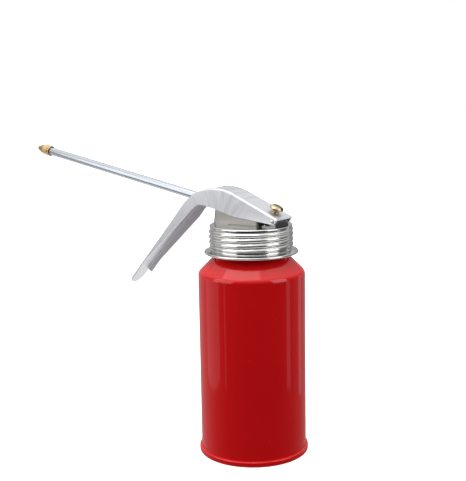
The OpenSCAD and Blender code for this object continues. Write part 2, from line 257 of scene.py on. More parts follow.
def pressed_alloy():
    f = Finish("pressed_alloy", {"Specular IOR Level": 0.5, "Metallic": 1.0})
    at = f.place()
    grain = f.noise(at, 5200, 2, 0.6)
    mottle = f.noise(at, 420, 4, 0.6)
    drawn = f.noise(f.stretch(at, (1.0, 0.35, 0.16)), 330, 3, 0.5)
    rolled = f.noise(f.stretch(at, (0.05, 1.0, 0.05)), 2600, 2, 0.6)
    scratch = f.ramp(f.noise(f.stretch(at, (1.0, 0.2, 0.12)), 1500, 2, 0.7), (0.0, 0.0),
                     (0.64, 0.0), (0.7, 1.0))
    radius, turn, across = f.round_place(f.place((BEND.x, 0, BEND.y), (math.pi / 2, 0, 0)))
    ripple_and_shade = f.noise(f.join(turn * 0.03, radius * 0.1, across * 0.1), 520, 2, 0.6)
    near_bend = f.ramp(turn / math.pi, (0.18, 0.0), (0.32, 1.0), (0.62, 1.0), (0.78, 0.0))
    base = f.blend(mottle, colour(0.63, 0.645, 0.67), colour(0.73, 0.74, 0.76))
    # painted shade: dark bands near the bend stand in for the shading of the pressed ripples; the same noise
    # also bends the normal.
    base = f.blend(f.ramp(ripple_and_shade, (0.35, 1.0), (0.6, 0.0)) * near_bend * 0.4, base, colour(0.42, 0.43, 0.46))
    f.give({
        "Base Color": f.blend(scratch * 0.25, base, colour(0.55, 0.565, 0.59)),
        "Roughness": f.fit(mottle, 0.3, 0.7, 0.36, 0.46) + grain * 0.04,
        "Normal": f.bump(grain, 0.004,
                         f.bump(ripple_and_shade * near_bend, 0.12, f.bump(drawn, 0.02, f.bump(rolled, 0.003)))),
    })
    return f.owner


def cast_alloy():
    f = Finish("cast_alloy", {"Specular IOR Level": 0.5})
    at = f.place()
    skin = f.noise(at, 1500, 4, 0.65)
    coarse = f.noise(at, 420, 3)
    cloud = f.noise(at, 110, 3)
    pits = f.ramp(f.noise(at, 2100, 2), (0.0, 1.0), (0.3, 1.0), (0.38, 0.0))
    f.give({
        "Metallic": 0.9 - pits * 0.2,
        "Base Color": f.blend(cloud * 0.8 + pits * 0.2, colour(0.50, 0.48, 0.455), colour(0.39, 0.375, 0.35)),
        "Roughness": f.fit(skin, 0.3, 0.7, 0.46, 0.60),
        "Normal": f.bump(skin, 0.02, f.bump(coarse, 0.03)),
    })
    return f.owner


def yellow_zinc(origin, turn):
    """Yellow passivated zinc plate: gold that drifts towards green and rose."""
    f = Finish("yellow_zinc", {"Specular IOR Level": 0.5, "Metallic": 1.0})
    at = f.place(origin, turn)
    drift = f.noise(at, 300, 3, 0.6)
    radius, angle, z = f.round_place(at)
    lines = f.noise(f.join(radius, angle * 0.0006, z), 4800, 2)
    sheen = f.ramp(drift, (0.3, colour(0.42, 0.37, 0.23)), (0.5, colour(0.56, 0.44, 0.29)),
                   (0.7, colour(0.46, 0.32, 0.23)))
    f.give({
        "Base Color": sheen,
        "Roughness": f.fit(lines, 0.3, 0.7, 0.15, 0.26),
        "Normal": f.bump(lines, 0.004),
    })
    return f.owner


def dark_rubber():
    f = Finish("dark_rubber", {"Specular IOR Level": 0.4})
    at = f.place()
    skin = f.noise(at, 2200, 3)
    dust = f.ramp(f.noise(at, 260, 5, 0.7), (0.0, 0.0), (0.5, 0.0), (0.85, 1.0))
    f.give({
        "Base Color": f.blend(dust * 0.5, colour(0.012, 0.012, 0.013), colour(0.06, 0.058, 0.055)),
        "Roughness": f.fit(skin, 0.3, 0.7, 0.5, 0.68),
        "Normal": f.bump(skin, 0.015),
    })
    return f.owner


def spring_wire():
    f = Finish("spring_wire", {"Specular IOR Level": 0.5, "Metallic": 1.0})
    at = f.place()
    haze = f.noise(at, 900, 3)
    f.give({
        "Base Color": f.blend(haze, colour(0.62, 0.62, 0.63), colour(0.42, 0.42, 0.44)),
        "Roughness": f.fit(haze, 0.3, 0.7, 0.2, 0.34),
        "Normal": f.bump(f.noise(at, 6000, 2), 0.002),
    })
    return f.owner


# ---------------------------------------------------------------- mesh tools, in mm
def fillet(path, steps=8, closed=True):
    """Rounds a flat path of (across, up, corner radius). A radius is cut to what its sides allow."""
    done, count = [], len(path)
    for i, (x, y, r) in enumerate(path):
        p = Vector((x, y))
        if r <= 0 or (not closed and i in (0, count - 1)):
            done.append(p)
            continue
        a, b = Vector(path[i - 1][:2]) - p, Vector(path[(i + 1) % count][:2]) - p
        if a.length < 1e-6 or b.length < 1e-6:
            done += [p] * (steps + 1)
            continue
        la, lb = a.length, b.length
        a.normalize()
        b.normalize()
        half = a.angle(b) / 2
        if half > math.pi / 2 - 1e-3:
            done += [p] * (steps + 1)
            continue
        reach = min(r / math.tan(half), 0.49 * la, 0.49 * lb)
        centre = p + (a + b).normalized() * (reach / math.cos(half))
        start, end = p + a * reach - centre, p + b * reach - centre
        turn = start.angle_signed(end)
        for k in range(steps + 1):
            spin = -turn * k / steps
            c, s = math.cos(spin), math.sin(spin)
            done.append(centre + Vector((start.x * c - start.y * s, start.x * s + start.y * c)))
    return done


def revolve(path, sides=192, shape=None):
    """Turns a closed path of (radius, height) about Z. shape(angle, radius, height) may change a radius."""
    verts, faces, rings = [], [], []
    for r, z in path:
        if r < 1e-6:
            rings.append([len(verts)] * sides)
            verts.append((0, 0, z))
            continue
        rings.append(list(range(len(verts), len(verts) + sides)))
        for k in range(sides):
            a = 2 * math.pi * k / sides
            q = shape(a, r, z) if shape else r
            verts.append((q * math.cos(a), q * math.sin(a), z))
    for i, low in enumerate(rings):
        high = rings[(i + 1) % len(rings)]
        for k in range(sides):
            n = (k + 1) % sides
            face = list(dict.fromkeys((low[k], low[n], high[n], high[k])))
            if len(face) > 2:
                faces.append(face)
    return verts, faces


def loft(sections):
    """Joins closed sections, each a list of 3-D points of one count, and closes both ends."""
    count = len(sections[0])
    verts = [p for section in sections for p in section]
    faces = [[i * count + k, i * count + (k + 1) % count, (i + 1) * count + (k + 1) % count,
              (i + 1) * count + k]
             for i in range(len(sections) - 1) for k in range(count)]
    faces.append(list(range(count))[::-1])
    faces.append([(len(sections) - 1) * count + k for k in range(count)])
    return verts, faces


def raw(name, shape, place=None):
    """A plain mesh object in metres, with doubles merged and its faces pointing outwards."""
    verts, faces = shape
    mesh = bpy.data.meshes.new(name)
    mesh.from_pydata([tuple(v) for v in verts], [], faces)
    mesh.transform(Matrix.Scale(MM, 4) @ (place or Matrix.Identity(4)))
    bm = bmesh.new()
    bm.from_mesh(mesh)
    bmesh.ops.remove_doubles(bm, verts=bm.verts, dist=2e-7)
    bmesh.ops.dissolve_degenerate(bm, edges=bm.edges, dist=2e-7)
    bmesh.ops.recalc_face_normals(bm, faces=bm.faces)
    bm.to_mesh(mesh)
    bm.free()
    obj = bpy.data.objects.new(name, mesh)
    bpy.context.scene.collection.objects.link(obj)
    return obj


def baked(obj):
    """Replaces an object's mesh by the one its modifiers give, and removes them."""
    bpy.context.view_layer.update()
    graph = bpy.context.evaluated_depsgraph_get()
    mesh = bpy.data.meshes.new_from_object(obj.evaluated_get(graph))
    obj.modifiers.clear()
    obj.data = mesh
    return obj


def combine(obj, others, how):
    """Adds, cuts or keeps the shared part of other solids, which are used up."""
    for other in others:
        step = obj.modifiers.new(how, "BOOLEAN")
        step.operation, step.object, step.solver = how, other, "EXACT"
    baked(obj)
    for other in others:
        bpy.data.objects.remove(other)
    return obj


def piece(obj, body, nodes, finish, angle=32):
    """Finishes a piece: shading, material, the body it rides on and the CAD nodes it stands for."""
    mesh = obj.data
    mesh.materials.clear()
    mesh.materials.append(finish)
    mesh.polygons.foreach_set("use_smooth", [True] * len(mesh.polygons))
    mesh.polygons.foreach_set("material_index", [0] * len(mesh.polygons))
    mesh.set_sharp_from_angle(angle=math.radians(angle))
    even = obj.modifiers.new("even", "WEIGHTED_NORMAL")
    even.keep_sharp = True
    baked(obj)
    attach(obj, body)
    if nodes:
        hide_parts(*nodes)
    return obj


def block(low, high):
    """A cutting block between two corners."""
    (x0, y0, z0), (x1, y1, z1) = low, high
    return loft([[(x0, y0, z), (x1, y0, z), (x1, y1, z), (x0, y1, z)] for z in (z0, z1)])


def hexagon(apothem):
    """Shape for revolve that keeps the radius inside a hexagon, which cuts the chamfers as a lathe would."""
    def shape(angle, radius, height):
        turn = (angle + math.pi / 6) % (math.pi / 3) - math.pi / 6
        return min(radius, apothem / math.cos(turn))
    return shape


def helix(crest, pitch, depth, low, high, inner, fade=0.8, sharp=0.9):
    """Shape for revolve: a rolled thread that swells the wall and dies out at both ends."""
    def shape(angle, radius, height):
        if radius < inner or height < low or height > high:
            return radius
        turn = ((height - crest) / pitch - angle / (2 * math.pi)) % 1.0
        swell = abs(math.cos(math.pi * turn)) ** sharp
        ease = min(1.0, (height - low) / fade, (high - height) / fade)
        return radius + depth * swell * ease * ease * (3 - 2 * ease)
    return shape


# ---------------------------------------------------------------- geometry node trees
class Tree:
    """A Geometry Nodes tree with named inputs, whose nodes come from one method."""

    def __init__(self, name, sizes):
        self.group = bpy.data.node_groups.new(name, "GeometryNodeTree")
        for label, kind in {**{s: "NodeSocketFloat" for s in sizes}, "Finish": "NodeSocketMaterial"}.items():
            self.group.interface.new_socket(label, in_out="INPUT", socket_type=kind)
        self.group.interface.new_socket("Mesh", in_out="OUTPUT", socket_type="NodeSocketGeometry")
        self.entry = self.group.nodes.new("NodeGroupInput")

    def node(self, kind, settings=None, inputs=None, out=0):
        made = self.group.nodes.new(kind)
        for key, value in (settings or {}).items():
            setattr(made, key, value)
        for key, value in (inputs or {}).items():
            if isinstance(value, bpy.types.NodeSocket):
                self.group.links.new(value, made.inputs[key])
            else:
                made.inputs[key].default_value = value
        return made.outputs[out]

    def size(self, label):
        return self.entry.outputs[label]

    def maths(self, operation, first, second):
        return self.node("ShaderNodeMath", {"operation": operation}, {0: first, 1: second})

    def end(self, geometry):
        real = self.node("GeometryNodeRealizeInstances", inputs={0: geometry})
        dressed = self.node("GeometryNodeSetMaterial",
                            inputs={"Geometry": real, "Material": self.size("Finish")})
        exit_node = self.group.nodes.new("NodeGroupOutput")
        self.group.links.new(dressed, exit_node.inputs[0])

    def grow(self, name, finish, sizes, place=None):
        """Runs the tree and returns its result as a plain mesh object, moved to its place."""
        obj = bpy.data.objects.new(name, bpy.data.meshes.new(name))
        bpy.context.scene.collection.objects.link(obj)
        grown = obj.modifiers.new("grow", "NODES")
        grown.node_group = self.group
        for item in self.group.interface.items_tree:
            if item.in_out == "INPUT":
                grown[item.identifier] = finish if item.name == "Finish" else float(sizes[item.name])
        baked(obj)
        obj.data.transform(place or Matrix.Identity(4))
        return obj


def coil_tree():
    """A wound spring: wire carried along a spiral."""
    t = Tree("wound_spring", ("Radius", "Wire", "Height", "Turns"))
    spiral = t.node("GeometryNodeCurveSpiral", inputs={
        "Resolution": 48, "Rotations": t.size("Turns"), "Start Radius": t.size("Radius"),
        "End Radius": t.size("Radius"), "Height": t.size("Height")})
    wire = t.node("GeometryNodeCurvePrimitiveCircle", inputs={"Resolution": 14, "Radius": t.size("Wire")})
    swept = t.node("GeometryNodeCurveToMesh",
                   inputs={"Curve": spiral, "Profile Curve": wire, "Fill Caps": True})
    t.end(swept)
    return t


def stud_tree(head):
    """Round heads set on a row of two points, one to each side of the middle."""
    t = Tree("stud_row", ("Spread",))
    half = t.maths("MULTIPLY", t.size("Spread"), -0.5)
    start = t.node("ShaderNodeCombineXYZ", inputs={1: half})
    step = t.node("ShaderNodeCombineXYZ", inputs={1: t.size("Spread")})
    row = t.node("GeometryNodeMeshLine", inputs={"Count": 2, "Start Location": start, "Offset": step})
    source = t.node("GeometryNodeObjectInfo", inputs={"Object": head}, out="Geometry")
    t.end(t.node("GeometryNodeInstanceOnPoints", inputs={"Points": row, "Instance": source}))
    return t


# ---------------------------------------------------------------- spout axis
SPOUT_TILT = math.radians(10)
SPOUT_POINT = Vector((-46.8, 0, 145.3))
SPOUT_REACH = 171.5
SOCKET_X, BOSS_X = -19.6, -20.5
SPOUT_TURN = (0, SPOUT_TILT - math.pi / 2, 0)


def on_spout(x):
    """Placing matrix whose Z runs out along the spout from the place on its axis at x."""
    z = SPOUT_POINT.z - (x - SPOUT_POINT.x) * math.tan(SPOUT_TILT)
    return Matrix.Translation((x, 0, z)) @ Matrix.Rotation(SPOUT_TILT - math.pi / 2, 4, "Y")


# ---------------------------------------------------------------- lever axis
TOP_SLOPE = math.radians(22.3)
TRIGGER_SLOPE = math.radians(47.4)
BEND = Vector((-18.8, 116.7))
BEND_R = 33.5
TRIGGER_LEN = 70.0
STEP_AT = 58.5
SHEET = 1.2
REAR = BEND + BEND_R * Vector((math.sin(TOP_SLOPE), math.cos(TOP_SLOPE)))
FRONT = BEND + BEND_R * Vector((-math.sin(TRIGGER_SLOPE), math.cos(TRIGGER_SLOPE)))


def top_height(x):
    return REAR.y - (x - REAR.x) * math.tan(TOP_SLOPE)


SCREW_X = 16.6
SCREW_TURN = (0, TOP_SLOPE, 0)
SCREW_FOOT = Vector((SCREW_X, 0, top_height(SCREW_X)))
on_screw = Matrix.Translation(SCREW_FOOT) @ Matrix.Rotation(TOP_SLOPE, 4, "Y")

# ---------------------------------------------------------------- the finishes, one for each surface
RED = red_enamel()
PLATED = turned("plated_cap", colour(0.66, 0.66, 0.65), colour(0.46, 0.46, 0.45), 0.13, 0.002)
PLAIN = turned("plain_steel", colour(0.62, 0.62, 0.63), colour(0.38, 0.37, 0.36), 0.3, 0.005)
PIPE = drawn_pipe("drawn_pipe", SPOUT_POINT, SPOUT_TURN)
COLLAR = turned("collar_steel", colour(0.76, 0.77, 0.79), colour(0.52, 0.52, 0.53), 0.2, 0.003,
                SPOUT_POINT, SPOUT_TURN)
NOZZLE = turned("nozzle_brass", colour(0.72, 0.50, 0.27), colour(0.50, 0.31, 0.15), 0.26, 0.005, SPOUT_POINT,
                SPOUT_TURN, 0.7)
BRASS = turned("turned_brass", colour(0.80, 0.57, 0.26), colour(0.55, 0.34, 0.13), 0.28, 0.005)
ZINC = yellow_zinc(SCREW_FOOT, SCREW_TURN)
ALLOY = pressed_alloy()
CAST = cast_alloy()
# painted shade: this near-black steel makes the hinge bracket stand in for the shade under the lever's rear
# end.
HINGE_SHADE_STEEL = turned("hinge_shade_steel", colour(0.22, 0.22, 0.23), colour(0.07, 0.07, 0.075), 0.18, 0.004,
                     (HINGE.x, 0, HINGE.y), (math.pi / 2, 0, 0))
PIN_STEEL = turned("pin_steel", colour(0.66, 0.66, 0.67), colour(0.34, 0.34, 0.34), 0.2, 0.003,
                   (HINGE.x, 0, HINGE.y), (math.pi / 2, 0, 0))
RUBBER = dark_rubber()
WIRE = spring_wire()


# ---------------------------------------------------------------- can
def can_shell():
    """Drawn can: straight wall, 45 degree shoulder and a neck with a rolled thread."""
    wall, neck_r, neck_wall = 0.8, 21.0, 0.9
    corner_z = WALL_LOW.z + 100.8
    shoulder_top = corner_z + BODY_R - neck_r
    slant = wall * math.tan(math.radians(22.5))
    path = fillet([(BODY_R, 2.7, 0), (BODY_R, corner_z, 4), (neck_r, shoulder_top, 1.2)], 12, False)
    path += [Vector((neck_r, z)) for z in np.arange(shoulder_top + 1.2, NECK_TOP - 0.5, 0.22)]
    path += fillet([(neck_r, NECK_TOP - 0.4, 0), (neck_r, NECK_TOP, 0.35),
                    (neck_r - neck_wall, NECK_TOP, 0.35), (neck_r - neck_wall, NECK_TOP - 0.4, 0)], 4, False)
    inner_r = neck_r - neck_wall
    path += [Vector((inner_r, z)) for z in np.arange(NECK_TOP - 0.7, shoulder_top + 0.6, -0.22)]
    path += fillet([(inner_r, shoulder_top, 0), (BODY_R - wall, corner_z - slant, 3.4),
                    (BODY_R - wall, 2.7, 0)], 8, False)
    thread = helix(117.4, PITCH, 0.85, shoulder_top + 2, NECK_TOP - 1.0, inner_r - 0.1, 1.2, 1.3)
    return revolve(path, 192, thread)


def can_base():
    """Rolled seam and pressed bottom: two rings and a small dimple in the middle."""
    r = SEAM_R
    under = [(0, 2.5, 0), (2.6, 2.5, 1.2), (4.0, 1.7, 0.8), (6.0, 1.7, 0.8), (7.2, 2.5, 1.0),
             (17.8, 2.5, 1.0),
             (19.0, 3.1, 1.0), (27.2, 3.1, 1.0), (29.3, 2.5, 0.8), (29.3, 0.0, 0.7), (r, 0.0, 0.75),
             (r, 3.0, 0.8), (29.7, 3.35, 0.3), (29.2, 4.0, 0.1)]
    over = [(29.1, 3.3, 0.2), (27.2, 3.9, 1.0), (19.0, 3.9, 1.0), (17.8, 3.3, 1.0), (7.2, 3.3, 0.8),
            (6.0, 2.5, 0.6), (4.0, 2.5, 0.6), (2.6, 3.2, 1.0), (0, 3.2, 0)]
    return revolve(fillet(under + over, 6, False), 192)


piece(raw("can_shell", can_shell()), "can", ["can_body"], RED)
piece(raw("can_base", can_base()), "can", ["can_bottom"], RED)


# ---------------------------------------------------------------- cap
def thread_cap():
    """Rolled steel cap: four turns of thread, a flare and a curled rim."""
    wall, cap_r, edge_r, hole_r = 0.6, 22.8, 23.15, 12.55
    curl_r = 0.75
    curl = Vector((RIM_R - curl_r, RIM_LOW + curl_r))
    thread_top, thread_low = CAP_TOP - 1.6, RIM_LOW + 3.1
    path = fillet([(hole_r, CAP_TOP - wall, 0), (hole_r, CAP_TOP, 0.25), (edge_r, CAP_TOP, 1.2),
                   (edge_r, CAP_TOP - 1.5, 0.4), (cap_r, CAP_TOP - 1.95, 0.3),
                   (cap_r, CAP_TOP - 2.2, 0)], 8, False)
    path += [Vector((cap_r, z)) for z in np.arange(CAP_TOP - 2.3, RIM_LOW + 3.0, -0.12)]
    path += fillet([(cap_r, RIM_LOW + 2.9, 0), (cap_r + 0.1, RIM_LOW + 2.3, 1.0),
                    (curl.x - 0.35, curl.y + curl_r + 0.1, 0.5), (curl.x, curl.y + curl_r, 0)], 8, False)
    path += [curl + curl_r * Vector((math.cos(a), math.sin(a))) for a in np.radians(np.arange(78, -190, -12))]
    path += fillet([(curl.x - 0.6, curl.y + 0.45, 0), (cap_r - 0.3, RIM_LOW + 2.0, 0.8),
                    (cap_r - wall, RIM_LOW + 2.7, 0.4), (cap_r - wall, RIM_LOW + 3.0, 0)], 6, False)
    path += [Vector((cap_r - wall, z)) for z in np.arange(RIM_LOW + 3.2, CAP_TOP - wall - 0.9, 0.2)]
    path += fillet([(cap_r - wall, CAP_TOP - wall - 0.8, 0), (cap_r - wall, CAP_TOP - wall, 0.6),
                    (hole_r + 0.4, CAP_TOP - wall, 0)], 5, False)
    return revolve(path, 256,
                   helix(CAP_TOP - 2.7, PITCH, 0.8, thread_low, thread_top, cap_r - wall - 0.05, 1.3, 1.0))


piece(raw("thread_cap", thread_cap()), "head", ["screw_cap"], PLATED, 40)


# ---------------------------------------------------------------- pump head casting
def tower_block():
    """The casting's body: a raked front, a level top and a falling roof, with every outer edge rounded."""
    half_w = 6.1
    lines = [((-23.6, CAP_TOP), (-22.2, 140.0)), ((-22.2, 140.0), (-21.0, 143.2)),
             ((-21.0, 143.2), (-11.0, 143.2)),
             ((-11.0, 143.2), (-2.0, 140.7)), ((-2.0, 140.7), (9.0, 137.5)), ((9.0, 137.5), (9.0, CAP_TOP))]
    sections = []
    front_r, roof_r, back_r = 4.0, 0.9, 1.6
    spots = sorted({round(half_w - front_r * (1 - math.sin(a)), 4) for a in np.radians(np.arange(0, 91, 7.5))}
                   | {round(half_w - roof_r * (1 - math.sin(a)), 4)
                      for a in np.radians(np.arange(0, 91, 15))})
    spots = sorted({-s for s in spots} | set(spots))

    def draw_in(y, r):
        side = r - (half_w - abs(y))
        return r - math.sqrt(max(r * r - side * side, 0)) if side > 0 else 0.0

    for y in spots:
        inset = [draw_in(y, front_r), draw_in(y, front_r), draw_in(y, roof_r), draw_in(y, roof_r),
                 draw_in(y, roof_r), draw_in(y, back_r)]
        moved = []
        for ((x0, z0), (x1, z1)), d in zip(lines, inset):
            run = Vector((x1 - x0, z1 - z0)).normalized()
            inward = Vector((run.y, -run.x)) * d
            moved.append((Vector((x0, z0)) + inward, run))
        corners = []
        for (p, u), (q, v) in zip(moved, moved[1:]):
            cross = u.x * v.y - u.y * v.x
            t = ((q.x - p.x) * v.y - (q.y - p.y) * v.x) / cross
            corners.append(p + u * t)
        start = moved[0][0] + moved[0][1] * ((CAP_TOP - moved[0][0].y) / moved[0][1].y)
        outline = [(start.x, CAP_TOP, 0)] + [(c.x, c.y, r)
                                             for c, r in zip(corners, (2.5, 1.6, 2.5, 2.5, 1.4))]
        outline.append((moved[-1][0].x, CAP_TOP, 0))
        sections.append([(p.x, y, p.y) for p in fillet(outline, 6, False)])
    return loft(sections)


def pump_casting():
    body = raw("pump_casting", tower_block())
    plug = fillet([(0, 114, 0), (12.5, 114, 0.6), (12.5, CAP_TOP, 0), (5.9, CAP_TOP, 0),
                   (5.9, CAP_TOP + 1, 0), (0, CAP_TOP + 1, 0)], 5, False)
    spigot = raw("spigot", revolve(plug, 128))
    boss = raw("boss", revolve(fillet([(0, 0, 0), (3.7, 0, 0), (3.7, 4.2, 0.5), (0, 4.2, 0)], 5, False), 96),
               on_spout(BOSS_X))
    combine(body, [spigot, boss], "UNION")
    bore = raw("bore", revolve([(0, 119), (4.99, 119), (4.99, 150), (0, 150)], 96))
    counter = raw("counter", revolve([(0, 110), (6.5, 110), (6.5, 119), (0, 119)], 96))
    valve = raw("valve",
                revolve([(0, 120.4), (1, 120.4), (1, 132.5), (2.2, 132.5), (2.2, 150), (0, 150)], 64),
                Matrix.Translation((-9, 0, 0)))
    socket = raw("socket", revolve([(0, 0), (2.5, 0), (2.5, 12), (0, 12)], 64), on_spout(SOCKET_X))
    return combine(body, [bore, counter, valve, socket], "DIFFERENCE")


piece(pump_casting(), "head", ["pump_head"], CAST, 30)


# ---------------------------------------------------------------- spout
TUBE_LEN = (SPOUT_REACH + SOCKET_X) / math.cos(SPOUT_TILT) - 7
pipe = fillet([(1.7, 0, 0.1), (2.5, 0, 0.2), (2.5, TUBE_LEN, 0.2), (1.7, TUBE_LEN, 0.1)], 4)
piece(raw("spout_pipe", revolve(pipe, 96), on_spout(SOCKET_X)), "head", ["spout_tube"], PIPE)
COLLAR_X = BOSS_X - 4.22 * math.cos(SPOUT_TILT)
ring = fillet([(2.5, 0, 0), (3.1, 0, 0.15), (3.1, 1.6, 0.6), (2.5, 1.6, 0)], 6)
piece(raw("spout_ring", revolve(ring, 96), on_spout(COLLAR_X)), "head", ["spout_collar"],
      COLLAR)
NOZZLE_LEN = 11.5
nozzle = fillet([(0.6, 4.6, 0), (0.6, NOZZLE_LEN, 0.15), (1.35, NOZZLE_LEN, 0.3),
                 (1.75, NOZZLE_LEN - 0.9, 0.5),
                 (3.3, 5.4, 0.5), (3.3, 1.5, 0.1), (3.0, 1.3, 0.1), (3.0, 0.9, 0.1), (3.3, 0.7, 0.1),
                 (3.3, 0, 0.2), (2.95, 0, 0.1), (2.75, 0.5, 0.1), (2.5, 0.5, 0), (2.5, 4.6, 0)], 5)
NOZZLE_X = -SPOUT_REACH + NOZZLE_LEN * math.cos(SPOUT_TILT)
piece(raw("nozzle_tip", revolve(nozzle, 96), on_spout(NOZZLE_X)), "head", ["nozzle"], NOZZLE)


# ---------------------------------------------------------------- lever
def lower_edge(p, way):
    """How far it is from a point on the lever's top, going inwards, to the free edge of its flanges."""
    slope = math.radians(41.3)
    hub, hub_r = Vector((-30, 132.2)), 8.0
    touch = hub + hub_r * Vector((-math.sin(slope), math.cos(slope)))
    arc = [hub + hub_r * Vector((math.sin(a), math.cos(a)))
           for a in np.linspace(math.radians(10), -slope, 24)]
    edge = [Vector((40, 132.5)), Vector((20.8, 132.5)), Vector((-8, 135.3)), Vector((-20, 138.4))] + arc
    edge.append(touch - 70 * Vector((math.cos(slope), math.sin(slope))))
    best = 60.0
    for a, b in zip(edge, edge[1:]):
        run = b - a
        cross = way.x * run.y - way.y * run.x
        if abs(cross) < 1e-9:
            continue
        t = ((a.x - p.x) * run.y - (a.y - p.y) * run.x) / cross
        s = ((a.x - p.x) * way.y - (a.y - p.y) * way.x) / cross
        if -1e-6 <= s <= 1 + 1e-6 and t > 0:
            best = min(best, t)
    return best


def lever_sections():
    half_w, tip_w = 7.8, 5.2
    heel_lean = math.radians(56.7)
    along_rear = Vector((math.cos(TOP_SLOPE), -math.sin(TOP_SLOPE)))
    along_front = Vector((math.cos(TRIGGER_SLOPE), math.sin(TRIGGER_SLOPE)))
    rear_top = Vector((LEVER_REAR, top_height(LEVER_REAR)))
    rear_run = (rear_top - REAR).length
    stations = []
    heel_way = -Vector((math.cos(heel_lean), math.sin(heel_lean)))
    square_way = -Vector((math.sin(TOP_SLOPE), math.cos(TOP_SLOPE)))
    for s in np.concatenate([[0, 0.12, 0.4], np.linspace(0.8, rear_run - 0.01, 26)]):
        ease = max(0.0, 1 - s / 9.0)
        way = (heel_way * ease + square_way * (1 - ease)).normalized()
        stations.append((rear_top - along_rear * s, way, half_w, -1.0, min(1.0, 0.35 + s / 0.4)))
    for a in np.linspace(TOP_SLOPE, -TRIGGER_SLOPE, 44):
        out = Vector((math.sin(a), math.cos(a)))
        stations.append((BEND + BEND_R * out, -out, half_w, -1.0, 1.0))
    way = Vector((math.sin(TRIGGER_SLOPE), -math.cos(TRIGGER_SLOPE)))
    taper = TRIGGER_LEN - tip_w
    ends = taper + tip_w * np.sin(np.radians(np.linspace(0, 86.5, 18)))
    for s in np.concatenate([np.linspace(1.5, 58.2, 50), [58.4, 58.7],
                             np.linspace(59.5, taper - 0.7, 6), ends]):
        w = half_w + (tip_w - half_w) * min(s / taper, 1)
        if s > taper:
            w = math.sqrt(max(tip_w ** 2 - (s - taper) ** 2, 0))
        stations.append((FRONT - along_front * s, way, w, s, 1.0))
    return stations


def lever_shape():
    """Pressed channel whose two flanges run out to a finger tongue; the far one is deeper as far as a step."""
    far_start, far_growth = 0.8, 0.037
    sections = []
    for p, way, w, s, full in lever_sections():
        near = max(lower_edge(p, way), SHEET) if s < STEP_AT else SHEET
        far = near + (min(s / 6, 1) * far_start + far_growth * s if 0 < s < STEP_AT else 0.0)
        deep = min((near - SHEET) / 2.0, 1.0)
        outer = (0.4 + 0.6 * deep) * full
        inner = 0.3
        edge = 0.3 * full
        wi = max(w - SHEET, 0.05)
        loop = [(-w, near, edge), (-w, 0, outer), (w, 0, outer), (w, far, edge), (wi, far, edge),
                (wi, SHEET, inner), (-wi, SHEET, inner), (-wi, near, edge)]
        sections.append([(p.x + way.x * q.y, q.x, p.y + way.y * q.y) for q in fillet(loop, 7)])
    return loft(sections)


def lever_cutters():
    """What is cut from the lever: the spout's slot, the screw's hole and the pin's two holes."""
    slot_w, low = 4.4, 140.3
    arc = [(slot_w * math.sin(a), low + slot_w - slot_w * math.cos(a))
           for a in np.radians(np.arange(-90, 91, 7.5))]
    bottom = [(-slot_w, 160)] + arc + [(slot_w, 160)]
    trough = raw("trough", loft([[(x, y, z) for y, z in bottom] for x in (-60.0, -23.0)]))
    top = raw("slot_top", revolve([(0, 145.5), (slot_w, 145.5), (slot_w, 161), (0, 161)], 64),
              Matrix.Translation((-23.0, 0, 0)))
    hole = raw("screw_hole", revolve([(0, -4), (2, -4), (2, 3), (0, 3)], 48), on_screw)
    pin = raw("pin_hole", revolve([(0, -12), (0.95, -12), (0.95, 12), (0, 12)], 48), on_pin)
    return [trough, top, hole, pin]


lever = combine(raw("finger_lever", lever_shape()), lever_cutters(), "DIFFERENCE")
piece(lever, "lever", ["lever"], ALLOY, 36)

# ---------------------------------------------------------------- stroke screw and its nut
HEAD_LOW, SHANK_LOW = 1.7, -5.5
screw_path = fillet([(0, SHANK_LOW, 0), (1.45, SHANK_LOW, 0.2), (1.78, SHANK_LOW + 0.5, 0)], 3, False)
screw_path += [Vector((1.78, z)) for z in np.arange(SHANK_LOW + 0.6, HEAD_LOW - 0.25, 0.06)]
screw_path += fillet([(1.78, HEAD_LOW - 0.1, 0), (1.9, HEAD_LOW, 0.05), (3.4, HEAD_LOW, 0.1),
                      (3.85, HEAD_LOW + 0.35, 0.25), (3.85, HEAD_LOW + 1.25, 0.5),
                      (2.9, HEAD_LOW + 2.2, 1.4), (0, HEAD_LOW + 2.3, 0)], 7, False)
screw = raw("stroke_screw_turned",
            revolve(screw_path, 72, helix(0, 0.7, 0.2, SHANK_LOW + 0.5, HEAD_LOW - 0.3, 1.7, 0.5, 1.6)),
            on_screw)
slot_cut = raw("driver_slot", block((-5, -0.55, HEAD_LOW + 0.7), (5, 0.55, HEAD_LOW + 4)), on_screw)
piece(combine(screw, [slot_cut], "DIFFERENCE"), "lever", ["stroke_screw"], ZINC, 40)
nut_path = fillet([(2.0, -SHEET - 1.2, 0), (2.55, -SHEET - 1.2, 0), (2.9, -SHEET - 1.0, 0),
                   (2.9, -SHEET - 0.2, 0), (2.55, -SHEET, 0), (2.0, -SHEET, 0)], 1)
piece(raw("stroke_nut_hex", revolve(nut_path, 96, hexagon(2.9 * math.cos(math.pi / 6))),
          on_screw @ Matrix.Rotation(math.pi / 6, 4, "Z")), "lever", ["stroke_nut"], ZINC, 25)


